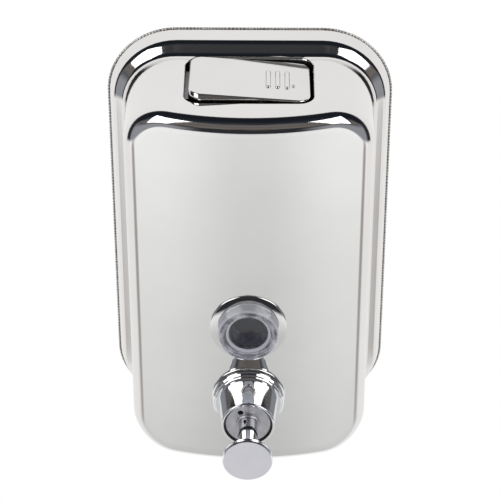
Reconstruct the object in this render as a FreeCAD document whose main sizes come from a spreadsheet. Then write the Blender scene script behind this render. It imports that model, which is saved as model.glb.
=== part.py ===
# Wall mounted soap dispenser: a drawn steel tank with a rocking filler lid,
# a sight glass and a push valve.
#
# The wall is the plane y = 0 and the dispenser stands out from it towards -Y, with +Z up. The origin is the
# middle of the wall plate's back face. All sizes are in millimetres.
import FreeCAD, Part
import math
import os
import re
import Sketcher

V = FreeCAD.Vector

SIZES = {
    # tank
    "tank_width": (118.6, "width of the tank over its rim"),
    "tank_height": (191.8, "height of the tank over its rim"),
    "tank_corner": (29.5, "corner radius of the rim"),
    "tank_depth": (61.5, "wall to the crest of the bowed front"),
    "wall_gap": (0.5, "wall to the back of the rim"),
    "gauge": (0.8, "thickness of the tank's sheet"),
    "rim_depth": (8.0, "depth of the rim's outer wall"),
    "rim_inset": (2.4, "how far the rim's wall leans in"),
    "shoulder_depth": (3.5, "depth of the slope from the rim to the body"),
    "shoulder_inset": (7.2, "how far the body's root stands inside the rim"),
    "front_inset": (2.2, "how far the body's sides lean in from root to front"),
    "root_corner": (22.0, "corner radius at the body's root"),
    "front_corner": (17.0, "corner radius at the body's front"),
    "bow_radius": (116.0, "plan radius of the bowed front"),
    "front_round": (5.5, "rounding of the front edge"),
    "rim_round": (1.2, "rounding of the rim's front edge"),
    "seat_rise": (0.6, "height of the flat seats over the crest"),
    "weld_radius": (0.6, "radius of the half round seam weld"),
    # wall plate and hanger
    "plate_width": (58.0, "width of the wall plate"),
    "plate_height": (56.0, "height of the wall plate"),
    "plate_gauge": (1.2, "thickness of the wall plate and its rails"),
    "screw_across": (44.0, "distance between screw holes, side to side"),
    "screw_up": (40.0, "distance between screw holes, up and down"),
    "screw_hole": (2.25, "radius of the screw holes"),
    "rail_length": (36.0, "length of the guide rails"),
    "rail_width": (32.0, "width over the guide rails"),
    "rail_lip": (5.0, "width of each rail's front lip"),
    "rail_room": (1.5, "room behind the lips for the tongue"),
    "tongue_gauge": (1.1, "thickness of the hanger's tongue"),
    "slip": (0.2, "clearance round the tongue"),
    "hanger_neck": (1.8, "depth of the hanger's neck in front of the tongue"),
    "lift_travel": (38.0, "how far the tank lifts to leave the rails"),
    "recess_margin": (4.0, "room round the wall plate in the back plate's recess"),
    # filler opening and lid
    "filler_width": (52.0, "length of the filler opening, side to side"),
    "filler_depth": (34.4, "width of the filler opening, back to front"),
    "filler_corner": (6.0, "corner radius of the filler opening"),
    "filler_place": (30.2, "wall to the middle of the filler opening"),
    "collar_drop": (14.0, "collar's lower edge below the rim's top"),
    "lid_gap": (1.5, "gap round the lid"),
    "lid_corner": (5.4, "corner radius of the lid"),
    "lid_skirt": (5.0, "depth of the lid's skirt"),
    "lid_rise": (4.3, "lid's top above its pin"),
    "lid_angle": (4.2, "angle at which the shut lid rests, in degrees"),
    "lid_round": (0.7, "rounding of the lid's top edge"),
    "pin_place": (5.0, "pin to the middle of the opening, towards the ribbed end"),
    "pin_drop": (11.8, "pin below the rim's top"),
    "pin_radius": (1.25, "radius of the lid's pin"),
    "pin_play": (0.07, "clearance of the pin in the lid's ears"),
    "ledge_reach": (3.4, "how far the ledge reaches in under the lid"),
    "ledge_play": (0.15, "gap between the ledge and the shut lid's skirt"),
    "rib_length": (13.0, "length of a grip rib"),
    "rib_width": (2.1, "width of a grip rib"),
    "rib_height": (0.7, "height of a grip rib"),
    "rib_pitch": (3.8, "distance from rib to rib"),
    "rib_place": (2.4, "pin to the first rib"),
    "dot_radius": (0.7, "radius of the dot beside the ribs"),
    # sight glass
    "glass_place": (13.0, "sight glass below the origin"),
    "glass_radius": (13.2, "radius of the sight glass's head"),
    "glass_height": (6.2, "how far the sight glass stands out of its seat"),
    "glass_stem": (9.6, "radius of the sight glass's stem"),
    "glass_bore": (7.6, "radius of the bore in the stem"),
    "glass_tail": (8.0, "length of the stem behind the seat"),
    "glass_seat": (16.2, "radius of the sight glass's flat seat"),
    # valve, fixed pieces
    "valve_place": (50.2, "valve's axis below the origin"),
    "valve_margin": (0.7, "flat seat outside the base flange"),
    "base_radius": (15.2, "radius of the housing's base flange"),
    "bell_length": (18.0, "seat to the bell's mouth"),
    "bell_root": (12.8, "radius of the bell behind its collar"),
    "mouth_radius": (10.3, "radius of the edge of the bell's mouth"),
    "lip_width": (0.9, "width of the bell's rounded lip round its mouth"),
    "lip_edge": (0.2, "flat left on the lip inside its rounding"),
    "tail_wall": (1.15, "wall of the housing's threaded tail"),
    "flange_edge": (1.0, "height of the base flange's straight edge"),
    "flange_bevel": (0.6, "height of the base flange's bevel"),
    "flange_step": (1.0, "base flange's edge to its raised step"),
    "step_height": (0.5, "height of the raised step"),
    "bevel": (0.3, "small bevel of turned edges"),
    "nut_wall": (5.0, "width of the inner nuts outside their bores, to a corner"),
    "tail_length": (16.0, "length of the threaded tail behind the seat"),
    "hole_play": (0.3, "clearance of stems in the tank's holes"),
    "gasket": (0.8, "thickness of the outer gaskets"),
    "washer": (1.5, "thickness of the inner rubber washers"),
    "nut_height": (5.0, "thickness of the inner nuts"),
    "nut_play": (0.05, "clearance between nuts and stems"),
    "cylinder_radius": (7.05, "outer radius of the pump cylinder"),
    "cylinder_bore": (5.6, "bore of the pump cylinder"),
    "cylinder_front": (12.9, "seat to the cylinder's front end"),
    "cylinder_back": (29.0, "seat to the cylinder's inner end"),
    "ring_room": (0.8, "gap between the front cap and the mouth, for the ring"),
    "collar_width": (0.9, "width of the collar round the stem"),
    "collar_height": (0.9, "height of the collar round the stem"),
    "cap_depth": (2.2, "thickness of the front cap"),
    "cap_edge": (0.2, "small bevel of the front cap's edges"),
    "cap_face": (17.2, "seat to the front cap's face"),
    "vent_radius": (1.2, "radius of the vent hole in the front cap"),
    "port_place": (9.0, "seat to the outlet port's axis"),
    "port_radius": (1.6, "radius of the outlet port"),
    "nozzle_radius": (2.9, "outer radius of the outlet nozzle"),
    "nozzle_bore": (2.2, "radius of the outlet nozzle's bore"),
    "nozzle_socket": (1.5, "housing left between the cylinder and the nozzle"),
    "duckbill_length": (4.2, "length of the soft valve in the nozzle"),
    "nozzle_tip": (18.5, "valve's axis to the tip of the nozzle"),
    "inlet_length": (7.0, "length of the inlet fitting"),
    "inlet_throat": (4.9, "cylinder's inner end to the ball's seat"),
    "inlet_radius": (1.7, "radius of the inlet hole under the ball"),
    "ball_radius": (2.4, "radius of the inlet ball"),
    "ball_room": (3.2, "radius of the ball's chamber"),
    # valve, moving pieces
    "button_radius": (10.4, "radius of the push button"),
    "button_face": (41.4, "seat to the push button's face"),
    "button_edge": (2.4, "thickness of the button's head at its edge"),
    "stem_radius": (4.2, "radius of the plunger rod"),
    "stud_radius": (2.2, "radius of the rod's end studs"),
    "socket_floor": (2.0, "button's face to the end of its socket"),
    "button_neck": (7.4, "button's face to the end of its neck"),
    "button_flare": (1.2, "width of the neck's flare under the head"),
    "flare_height": (1.7, "head to the flare's inner end"),
    "button_bevel": (0.5, "bevel round the button's head"),
    "seal_groove": (1.1, "depth of the groove in the piston"),
    "seal_wire": (0.5, "radius of the piston ring's section"),
    "rod_shoulder": (6.0, "plunger rod's inner shoulder behind the seat"),
    "piston_length": (5.0, "length of the piston"),
    "running_play": (0.05, "clearance of pieces that slide in one another"),
    "spring_wire": (0.8, "wire thickness of the return spring"),
    "spring_room": (1.3, "cylinder's bore to the middle of the spring's wire"),
    "spring_turns": (5.0, "number of turns of the return spring"),
}

# Sizes that follow from others, so that pieces which fit together grow together.
LINKS = {
    "tail_radius": "cylinder_radius + tail_wall",
    "valve_seat": "base_radius + valve_margin",
    "cap_radius": "mouth_radius - ring_room",
    "cap_collar": "stem_radius + collar_width",
    "spring_radius": "cylinder_bore - spring_room",
    "nozzle_root": "cylinder_radius + 3 * running_play + nozzle_socket",
}

doc = FreeCAD.newDocument("soap_dispenser")
sheet = doc.addObject("Spreadsheet::Sheet", "Sizes")
for row, (alias, (number, meaning)) in enumerate(SIZES.items(), start=1):
    sheet.set(f"A{row}", meaning)
    sheet.set(f"B{row}", str(number))
    sheet.setAlias(f"B{row}", alias)
doc.recompute()

OUTWARD = FreeCAD.Rotation(V(1, 0, 0), 90)
TOUCH = 0.01
SEAT = "tank_depth + seat_rise"


def sized(text):
    """Write out linked sizes and put the sheet's name in front of each size of the sheet."""
    def spell(word):
        name = word.group()
        if name in LINKS:
            return f"({sized(LINKS[name])})"
        return f"Sizes.{name}" if name in SIZES else name
    return re.sub(r"[a-z_]+", spell, text)


def value(text):
    """Work out an expression in the sheet's sizes."""
    return float(doc.getObject("Sizes").evalExpression(sized(text)))


def body(name, x="0", y="0", z="0", rotation=FreeCAD.Rotation()):
    """Start a sub-part whose own origin stands at x, y, z."""
    new = doc.addObject("PartDesign::Body", name)
    new.Label = name
    new.Placement = FreeCAD.Placement(V(), rotation)
    for axis, place in zip("xyz", (x, y, z)):
        new.setExpression(f"Placement.Base.{axis}", sized(place))
    return new


def sketch(owner, role, offset="0"):
    """Start a sketch on one of the sub-part's own planes, moved along the plane's normal."""
    new = owner.newObject("Sketcher::SketchObject", f"{owner.Name}_sketch")
    plane = next(feature for feature in owner.Origin.OriginFeatures if feature.Role == role)
    new.AttachmentSupport = [(plane, "")]
    new.MapMode = "FlatFace"
    new.setExpression("AttachmentOffset.Base.z", sized(offset))
    return new


def hold(drawing, kind, *where, at):
    """Add a dimension to a sketch and tie it to an expression."""
    index = drawing.addConstraint(Sketcher.Constraint(kind, *where, 1.0))
    drawing.setExpression(f"Constraints[{index}]", sized(at))


def hold_point(drawing, curve, end, x, y):
    """Place one point of a sketch at x, y."""
    hold(drawing, "DistanceX", -1, 1, curve, end, at=x)
    hold(drawing, "DistanceY", -1, 1, curve, end, at=y)


def polygon(drawing, corners):
    """Draw a closed outline of straight lines through the corners."""
    first = drawing.GeometryCount
    count = len(corners)
    turns = [number * 2 * math.pi / count for number in range(count)]
    rough = [V(math.cos(turn), math.sin(turn), 0) for turn in turns]
    for number in range(count):
        drawing.addGeometry(Part.LineSegment(rough[number], rough[(number + 1) % count]))
    for number, (x, y) in enumerate(corners):
        after = first + (number + 1) % count
        drawing.addConstraint(Sketcher.Constraint("Coincident", first + number, 2, after, 1))
        hold_point(drawing, first + number, 1, x, y)


def rounded_rectangle(drawing, width, height, radius, x="0", y="0"):
    """Draw a rectangle with round corners about the point x, y."""
    first = drawing.GeometryCount
    quarter = math.pi / 2
    signs = ((1, 1), (-1, 1), (-1, -1), (1, -1))
    for number, (side, up) in enumerate(signs):
        circle = Part.Circle(V(20 * side, 20 * up, 0), V(0, 0, 1), 5)
        drawing.addGeometry(Part.ArcOfCircle(circle, number * quarter, (number + 1) * quarter))
    arcs = [drawing.Geometry[first + number] for number in range(4)]
    for number in range(4):
        after = (number + 1) % 4
        drawing.addGeometry(Part.LineSegment(arcs[number].EndPoint, arcs[after].StartPoint))
        line = first + 4 + number
        drawing.addConstraint(Sketcher.Constraint("Coincident", line, 1, first + number, 2))
        drawing.addConstraint(Sketcher.Constraint("Coincident", line, 2, first + after, 1))
    for number, (side, up) in enumerate(signs):
        arc = first + number
        level, plumb = (1, 2) if number % 2 == 0 else (2, 1)
        drawing.addConstraint(Sketcher.Constraint("Horizontal", arc, 3, arc, level))
        drawing.addConstraint(Sketcher.Constraint("Vertical", arc, 3, arc, plumb))
        hold(drawing, "Radius", arc, at=radius)
        hold_point(drawing, arc, 3, f"{x} + {side} * (({width}) / 2 - ({radius}))",
                   f"{y} + {up} * (({height}) / 2 - ({radius}))")


def disc(drawing, radius, x="0", y="0"):
    """Draw a circle about the point x, y."""
    number = drawing.addGeometry(Part.Circle(V(1, 1, 0), V(0, 0, 1), 1))
    hold(drawing, "Radius", number, at=radius)
    hold_point(drawing, number, 3, x, y)


def extrude(drawing, length, kind="Pad", reverse=False):
    """Pad a sketch, or pocket it."""
    owner = drawing.getParentGeoFeatureGroup()
    new = owner.newObject(f"PartDesign::{kind}", f"{owner.Name}_{kind.lower()}")
    new.Profile = drawing
    new.setExpression("Length", sized(length))
    new.Reversed = reverse
    return new


def join_outlines(owner, outlines):
    """Loft straight walls from each outline to the next."""
    for first, second in zip(outlines, outlines[1:]):
        new = owner.newObject("PartDesign::AdditiveLoft", f"{owner.Name}_loft")
        new.Profile = first
        new.Sections = [second]
        new.Ruled = True


def round_edges(owner, radius, chosen):
    """Round the edges of a sub-part that the test picks out."""
    doc.recompute()
    base = owner.Tip
    names = [f"Edge{number}" for number, edge in enumerate(base.Shape.Edges, start=1) if chosen(edge)]
    new = owner.newObject("PartDesign::Fillet", f"{owner.Name}_round")
    new.Base = (base, names)
    new.setExpression("Radius", sized(radius))
    doc.recompute()


def turned(name, place, profile, depth=SEAT, rotation=OUTWARD):
    """Turn a profile of (radius, height) corners; height grows outwards from the tank's seat."""
    new = body(name, y=f"-({depth})", z=f"-({place})", rotation=rotation)
    drawing = sketch(new, "XZ_Plane")
    polygon(drawing, profile)
    revolution = new.newObject("PartDesign::Revolution", f"{name}_turn")
    revolution.Profile = drawing
    revolution.ReferenceAxis = (drawing, ["V_Axis"])
    revolution.Angle = 360
    return new


def ring(name, place, inner, outer, low, high):
    """Turn a plain flat ring."""
    return turned(name, place, [(inner, low), (outer, low), (outer, high), (inner, high)])


def o_ring(name, place, radius, wire, height):
    """Turn a ring of round section."""
    new = body(name, y=f"-({SEAT})", z=f"-({place})", rotation=OUTWARD)
    drawing = sketch(new, "XZ_Plane")
    disc(drawing, wire, radius, height)
    revolution = new.newObject("PartDesign::Revolution", f"{name}_turn")
    revolution.Profile = drawing
    revolution.ReferenceAxis = (drawing, ["V_Axis"])
    revolution.Angle = 360
    return new


def outward_cylinder(name, place, radius, length, start):
    """Make a plain cylinder along -Y that starts at a distance from the wall."""
    new = doc.addObject("Part::Cylinder", name)
    new.Placement = FreeCAD.Placement(V(), OUTWARD)
    new.setExpression("Placement.Base.y", sized(f"-({start})"))
    new.setExpression("Placement.Base.z", sized(f"-({place})"))
    new.setExpression("Radius", sized(radius))
    new.setExpression("Height", sized(length))
    return new


def combine(kind, name, first, second):
    """Cut, fuse or intersect two objects."""
    new = doc.addObject(f"Part::{kind}", name)
    new.Label = name
    if kind == "MultiFuse":
        new.Shapes = [first, *second]
    else:
        new.Base = first
        new.Tool = second
    return new


# Tank: the outer form and the form of its inside, which is the same one moved in by the gauge.

def tank_form(name, skin):
    """Build the tank's stepped and tapered form, moved in from its outer faces by a skin."""
    new = body(name)
    rim_back = "wall_gap + gauge"
    rim_front = f"wall_gap + rim_depth - ({skin}) / 2"
    root = f"wall_gap + rim_depth + shoulder_depth - ({skin}) / 2"
    front = f"tank_depth - ({skin})"
    outlines = []
    for depth, inset, corner in (
            (rim_back, "0", "tank_corner"),
            (rim_front, "rim_inset", "tank_corner - rim_inset"),
            (root, "shoulder_inset", "root_corner"),
            (front, "shoulder_inset + front_inset", "front_corner")):
        drawing = sketch(new, "XZ_Plane", depth)
        across = f"tank_width - 2 * ({inset} + {skin})"
        upward = f"tank_height - 2 * ({inset} + {skin})"
        rounded_rectangle(drawing, across, upward, f"{corner} - {skin}")
        outlines.append(drawing)
    join_outlines(new, outlines)
    bow_front(new, front, skin)
    reach = value("tank_depth") * 0.45
    round_edges(new, f"front_round - {skin}", lambda edge: front_edge(edge, reach))
    return new


def bow_front(owner, front, skin):
    """Cut the form's flat front back to an upright cylinder."""
    drawing = sketch(owner, "XY_Plane", "-tank_height")
    side = "tank_width * 0.6"
    beyond = f"-({front}) - 5"
    radius = f"bow_radius - {skin}"
    rough = Part.Circle(V(0, 60, 0), V(0, 0, 1), 120)
    drawing.addGeometry(Part.ArcOfCircle(rough, 1.25 * math.pi, 1.75 * math.pi))
    arc = drawing.Geometry[0]
    corners = [arc.EndPoint, V(arc.EndPoint.x, -90, 0), V(arc.StartPoint.x, -90, 0), arc.StartPoint]
    for start, end in zip(corners, corners[1:]):
        drawing.addGeometry(Part.LineSegment(start, end))
    for number in range(3):
        drawing.addConstraint(Sketcher.Constraint("Coincident", number, 2, number + 1, 1))
    drawing.addConstraint(Sketcher.Constraint("Coincident", 3, 2, 0, 1))
    hold(drawing, "Radius", 0, at=radius)
    hold_point(drawing, 0, 3, "0", f"{radius} - ({front})")
    hold(drawing, "DistanceX", -1, 1, 0, 2, at=side)
    hold(drawing, "DistanceX", 0, 1, -1, 1, at=side)
    hold_point(drawing, 2, 1, side, beyond)
    hold_point(drawing, 2, 2, f"-({side})", beyond)
    extrude(drawing, "2 * tank_height", "Pocket", reverse=True)


def front_edge(edge, reach):
    """Tell whether an edge lies round the form's front face and not along its sides."""
    box = edge.BoundBox
    upright_or_level = box.YLength < 0.25 * value("tank_depth")
    return box.YMax < -reach and upright_or_level and edge.Length > 1


outer_form = tank_form("outer_form", "0")
inner_form = tank_form("inner_form", "gauge")
rim_edge = -value("wall_gap") - value("rim_depth")
round_edges(outer_form, "rim_round", lambda edge: abs(edge.BoundBox.YMin - rim_edge) < TOUCH
            and edge.BoundBox.YLength < TOUCH)

filler = body("filler_cut", y="-filler_place")
filler_outline = sketch(filler, "XY_Plane", "tank_height / 2 - collar_drop")
rounded_rectangle(filler_outline, "filler_width", "filler_depth", "filler_corner")
extrude(filler_outline, "tank_height / 2")

seat_root = "tank_depth / 2"
outer_seats = []
inner_seats = []
for fitting in ("glass", "valve"):
    place = f"{fitting}_place"
    seat = f"{fitting}_seat"
    outer_seats.append(outward_cylinder(f"{seat}_outside", place, seat, f"{SEAT} - {seat_root}", seat_root))
    inner_seats.append(outward_cylinder(f"{seat}_inside", place, f"{seat} - gauge",
                                        f"{SEAT} - gauge - {seat_root}", seat_root))
outside = combine("MultiFuse", "outside", outer_form, outer_seats)
inside = combine("MultiFuse", "inside", inner_form, inner_seats)
holes = combine("MultiFuse", "tank_holes", filler, [
    outward_cylinder("glass_hole", "glass_place", "glass_stem + hole_play", "tank_depth", seat_root),
    outward_cylinder("valve_hole", "valve_place", "tail_radius + hole_play", "tank_depth", seat_root)])
tank_skin = combine("Cut", "tank_skin", outside, inside)
tank_shell = combine("Cut", "tank_shell", tank_skin, holes)

# Back plate: a flat sheet over the rim, pressed in round the wall plate and the path
# that it takes when lifted.

back_plate = body("back_plate")
recess_width = "plate_width + 2 * recess_margin"
recess_height = "plate_height + lift_travel + 2 * recess_margin"
recess_middle = "-lift_travel / 2"
hanger_front = "plate_gauge + slip + tongue_gauge + hanger_neck"
back_outline = sketch(back_plate, "XZ_Plane", "wall_gap")
rounded_rectangle(back_outline, "tank_width", "tank_height", "tank_corner")
extrude(back_outline, "gauge")
pan_outline = sketch(back_plate, "XZ_Plane", "wall_gap")
rounded_rectangle(pan_outline, f"{recess_width} + 2 * gauge", f"{recess_height} + 2 * gauge",
                  "recess_margin + gauge", y=recess_middle)
extrude(pan_outline, f"{hanger_front} + gauge - wall_gap")
recess_outline = sketch(back_plate, "XZ_Plane", "wall_gap")
rounded_rectangle(recess_outline, recess_width, recess_height, "recess_margin", y=recess_middle)
extrude(recess_outline, f"{hanger_front} - wall_gap", "Pocket", reverse=True)

rim_weld = body("rim_weld")
weld_path = sketch(rim_weld, "XZ_Plane", "wall_gap + gauge")
rounded_rectangle(weld_path, "tank_width", "tank_height", "tank_corner")
weld_section = sketch(rim_weld, "XY_Plane")
half_turn = Part.ArcOfCircle(Part.Circle(V(59, -1, 0), V(0, 0, 1), 1), -math.pi / 2, math.pi / 2)
weld_section.addGeometry(half_turn)
weld_section.addGeometry(Part.LineSegment(half_turn.EndPoint, half_turn.StartPoint))
weld_section.addConstraint(Sketcher.Constraint("Coincident", 0, 2, 1, 1))
weld_section.addConstraint(Sketcher.Constraint("Coincident", 0, 1, 1, 2))
weld_section.addConstraint(Sketcher.Constraint("Vertical", 0, 3, 0, 1))
weld_section.addConstraint(Sketcher.Constraint("Vertical", 0, 3, 0, 2))
hold(weld_section, "Radius", 0, at="weld_radius")
hold_point(weld_section, 0, 3, "tank_width / 2", "-(wall_gap + gauge)")
weld_sweep = rim_weld.newObject("PartDesign::AdditivePipe", "rim_weld_sweep")
weld_sweep.Profile = weld_section
weld_sweep.Spine = weld_path

# Wall plate and hanger: the tongue slides down behind the rails' lips and comes to rest on the stop.

wall_plate = body("wall_plate")
plate_outline = sketch(wall_plate, "XZ_Plane")
rounded_rectangle(plate_outline, "plate_width", "plate_height", "recess_margin")
for side in (1, -1):
    for up in (1, -1):
        disc(plate_outline, "screw_hole", f"{side} * screw_across / 2", f"{up} * screw_up / 2")
extrude(plate_outline, "plate_gauge")
rail_section = sketch(wall_plate, "XY_Plane", "-rail_length / 2")
lip_back = "-(plate_gauge + rail_room)"
lip_front = "-(2 * plate_gauge + rail_room)"
for side in (1, -1):
    edge = f"{side} * rail_width / 2"
    web = f"{side} * (rail_width / 2 - plate_gauge)"
    lip = f"{side} * (rail_width / 2 - rail_lip)"
    polygon(rail_section, [(edge, "-plate_gauge"), (edge, lip_front), (lip, lip_front),
                           (lip, lip_back), (web, lip_back), (web, "-plate_gauge")])
extrude(rail_section, "rail_length")
stop = sketch(wall_plate, "XZ_Plane", "plate_gauge")
stop_side = "rail_width / 2 - plate_gauge"
stop_low = "-rail_length / 2"
stop_high = "plate_gauge - rail_length / 2"
polygon(stop, [(f"-({stop_side})", stop_low), (stop_side, stop_low),
               (stop_side, stop_high), (f"-({stop_side})", stop_high)])
extrude(stop, "rail_room")

hanger_bracket = body("hanger_bracket")
hanger_section = sketch(hanger_bracket, "XY_Plane", "plate_gauge + slip / 2 - rail_length / 2")
tongue_side = "rail_width / 2 - plate_gauge - slip"
neck_side = "rail_width / 2 - rail_lip - 2 * slip"
tongue_back = "-(plate_gauge + slip)"
tongue_front = "-(plate_gauge + slip + tongue_gauge)"
neck_front = f"-({hanger_front})"
polygon(hanger_section, [
    (tongue_side, tongue_back), (tongue_side, tongue_front),
    (neck_side, tongue_front), (neck_side, neck_front),
    (f"-({neck_side})", neck_front), (f"-({neck_side})", tongue_front), (f"-({tongue_side})", tongue_front),
    (f"-({tongue_side})", tongue_back)])
extrude(hanger_section, "rail_length - 2 * plate_gauge")

# Filler: a collar under the opening, with a pin through it and a ledge at the end that the lid opens from.

collar_blank = body("collar_blank", y="-filler_place")
collar_foot = "tank_height / 2 - collar_drop"
collar_outline = sketch(collar_blank, "XY_Plane", collar_foot)
rounded_rectangle(collar_outline, "filler_width + 2 * gauge", "filler_depth + 2 * gauge",
                  "filler_corner + gauge")
extrude(collar_outline, "collar_drop")
collar_bore = sketch(collar_blank, "XY_Plane", collar_foot)
rounded_rectangle(collar_bore, "filler_width", "filler_depth", "filler_corner")
extrude(collar_bore, "collar_drop", "Pocket", reverse=True)
pin_height = "tank_height / 2 - pin_drop"
lid_left = "filler_width / 2 - lid_gap + pin_place"
skirt_foot = (f"{pin_height} + ({lid_left}) * sin(lid_angle * 1 deg) "
              "- (lid_skirt - lid_rise) * cos(lid_angle * 1 deg)")
ledge = sketch(collar_blank, "XY_Plane", f"{skirt_foot} - ledge_play")
ledge_end = "-(filler_width / 2 - ledge_reach)"
ledge_half = "filler_depth / 2 - filler_corner"
ledge_root = "-(filler_width + gauge) / 2"
polygon(ledge, [(ledge_root, f"-({ledge_half})"), (ledge_end, f"-({ledge_half})"),
                (ledge_end, ledge_half), (ledge_root, ledge_half)])
extrude(ledge, "gauge", reverse=True)
collar_holes = sketch(collar_blank, "XZ_Plane", "-filler_depth")
disc(collar_holes, "pin_radius + pin_play / 2", "pin_place", pin_height)
extrude(collar_holes, "2 * filler_depth", "Pocket", reverse=True)
filler_collar = combine("Common", "filler_collar", collar_blank, inside)

lid_pin = body("lid_pin", x="pin_place", y="-filler_place", z=pin_height)
pin_outline = sketch(lid_pin, "XZ_Plane", "-(filler_depth / 2 + 2 * gauge)")
disc(pin_outline, "pin_radius")
extrude(pin_outline, "filler_depth + 4 * gauge")

lid = body("lid", x="pin_place", y="-filler_place", z=pin_height, rotation=FreeCAD.Rotation(V(0, 1, 0), 1))
lid.setExpression("Placement.Rotation.Angle", sized("lid_angle * 1 deg"))
lid_length = "filler_width - 2 * lid_gap"
lid_width = "filler_depth - 2 * lid_gap"
skirt = sketch(lid, "XY_Plane", "lid_rise - lid_skirt")
rounded_rectangle(skirt, lid_length, lid_width, "lid_corner", x="-pin_place")
extrude(skirt, "lid_skirt")
lid_top = value("lid_rise")
round_edges(lid, "lid_round", lambda edge: edge.BoundBox.ZMin > lid_top - TOUCH)
hollow = sketch(lid, "XY_Plane", "lid_rise - lid_skirt")
rounded_rectangle(hollow, f"{lid_length} - 2 * gauge", f"{lid_width} - 2 * gauge",
                  "lid_corner - gauge", x="-pin_place")
extrude(hollow, "lid_skirt - gauge", "Pocket", reverse=True)
ear_half = "2.8 * pin_radius"
for side, start in ((1, f"({lid_width}) / 2 - gauge"), (-1, f"-({lid_width}) / 2")):
    ear = sketch(lid, "XZ_Plane", start)
    polygon(ear, [(f"-({ear_half})", "-2 * pin_radius"), (ear_half, "-2 * pin_radius"),
                  (ear_half, "lid_rise - 2 * gauge"), (f"-({ear_half})", "lid_rise - 2 * gauge")])
    extrude(ear, "gauge")
ear_hole = sketch(lid, "XZ_Plane", "-filler_depth")
disc(ear_hole, "pin_radius + pin_play")
extrude(ear_hole, "2 * filler_depth", "Pocket", reverse=True)
dot = sketch(lid, "XY_Plane", "lid_rise - gauge / 2")
disc(dot, "dot_radius", "rib_place + 2 * rib_pitch + 1.2 * rib_width", "-rib_length / 3")
extrude(dot, "gauge / 2 + rib_height")
rib = sketch(lid, "XY_Plane", "lid_rise - gauge / 2")
rounded_rectangle(rib, "rib_width", "rib_length", "rib_width * 0.45", x="rib_place")
rib_pad = extrude(rib, "gauge / 2 + rib_height")
ribs = lid.newObject("PartDesign::LinearPattern", "lid_ribs")
ribs.Originals = [rib_pad]
ribs.Direction = (next(f for f in lid.Origin.OriginFeatures if f.Role == "X_Axis"), [""])
ribs.setExpression("Length", sized("2 * rib_pitch"))
ribs.Occurrences = 3
lid.Tip = ribs
rib_top = value("lid_rise + rib_height")
round_edges(lid, "0.8 * rib_height", lambda edge: edge.BoundBox.ZMin > rib_top - TOUCH
            and edge.BoundBox.XMin > 0)

# Sight glass: a clear plug with a raised ring, clamped through the tank's wall.

turned("sight_glass", "glass_place", [
    ("0", "glass_height * 0.25"), ("0", "glass_height * 0.55"),
    ("glass_radius * 0.66", "glass_height * 0.55"),
    ("glass_radius * 0.77", "glass_height"), ("glass_radius * 0.88", "glass_height"),
    ("glass_radius * 0.97", "glass_height * 0.8"), ("glass_radius", "glass_height * 0.3"),
    ("glass_radius", "gasket"), ("glass_stem", "gasket"), ("glass_stem", "-glass_tail"),
    ("glass_bore", "-glass_tail"), ("glass_bore", "glass_height * 0.25")])
glass_hole = "glass_stem + running_play"
ring("sight_glass_gasket", "glass_place", glass_hole, "glass_radius - gasket / 2", "0", "gasket")
ring("sight_glass_washer", "glass_place", glass_hole, "glass_radius", "-(gauge + washer)", "-gauge")


def nut(name, place, bore, across):
    """Make a six-sided nut behind the inner washer."""
    behind = f"{SEAT} - gauge - washer - nut_height"
    blank = doc.addObject("Part::Prism", f"{name}_blank")
    blank.Polygon = 6
    blank.Placement = FreeCAD.Placement(V(), OUTWARD)
    blank.setExpression("Placement.Base.y", sized(f"-({behind})"))
    blank.setExpression("Placement.Base.z", sized(f"-({place})"))
    blank.setExpression("Circumradius", sized(across))
    blank.setExpression("Height", sized("nut_height"))
    return combine("Cut", name, blank, outward_cylinder(f"{name}_bore", place, bore, "nut_height", behind))


nut("sight_glass_nut", "glass_place", "glass_stem + nut_play", "glass_stem + nut_wall")
nut("valve_nut", "valve_place", "tail_radius + nut_play", "tail_radius + nut_wall")

# Valve housing and the pieces fixed in it.

edge_top = "gasket + flange_edge"
flange_top = f"{edge_top} + flange_bevel"
step_top = f"{flange_top} + step_height"
valve_housing = turned("valve_housing", "valve_place", [
    ("cylinder_radius + running_play", "-tail_length"), ("tail_radius", "-tail_length"),
    ("tail_radius", "gasket"),
    ("base_radius", "gasket"), ("base_radius", edge_top), ("base_radius - flange_bevel", flange_top),
    ("base_radius - flange_step", flange_top), ("base_radius - flange_step", step_top),
    ("base_radius - flange_step - bevel", f"{step_top} + bevel"), ("bell_root", f"{step_top} + bevel"),
    ("bell_root", f"{step_top} + bevel + flange_bevel"),
    ("mouth_radius + lip_width", "bell_length"), ("mouth_radius", "bell_length"),
    ("mouth_radius", "cylinder_front"), ("cylinder_radius + running_play", "cylinder_front")])
lip_radius = value("mouth_radius + lip_width")
round_edges(valve_housing, "lip_width - lip_edge", lambda edge: hasattr(edge.Curve, "Radius")
            and abs(edge.Curve.Radius - lip_radius) < TOUCH)
port = sketch(valve_housing, "XZ_Plane")
disc(port, "port_radius", "0", "port_place")
extrude(port, "base_radius", "Pocket", reverse=True)
nozzle_bore = sketch(valve_housing, "XZ_Plane", "nozzle_root")
disc(nozzle_bore, "nozzle_radius + running_play / 2", "0", "port_place")
extrude(nozzle_bore, "base_radius", "Pocket", reverse=True)

ring("valve_gasket", "valve_place", "tail_radius + running_play", "base_radius - bevel", "0", "gasket")
ring("valve_washer", "valve_place", "tail_radius + running_play", "base_radius - flange_step - bevel",
     "-(gauge + washer)", "-gauge")

pump_cylinder = ring("pump_cylinder", "valve_place", "cylinder_bore", "cylinder_radius",
                     "-cylinder_back", "cylinder_front")
cylinder_port = sketch(pump_cylinder, "XZ_Plane")
disc(cylinder_port, "port_radius", "0", "port_place")
extrude(cylinder_port, "2 * cylinder_radius", "Pocket", reverse=True)

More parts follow.
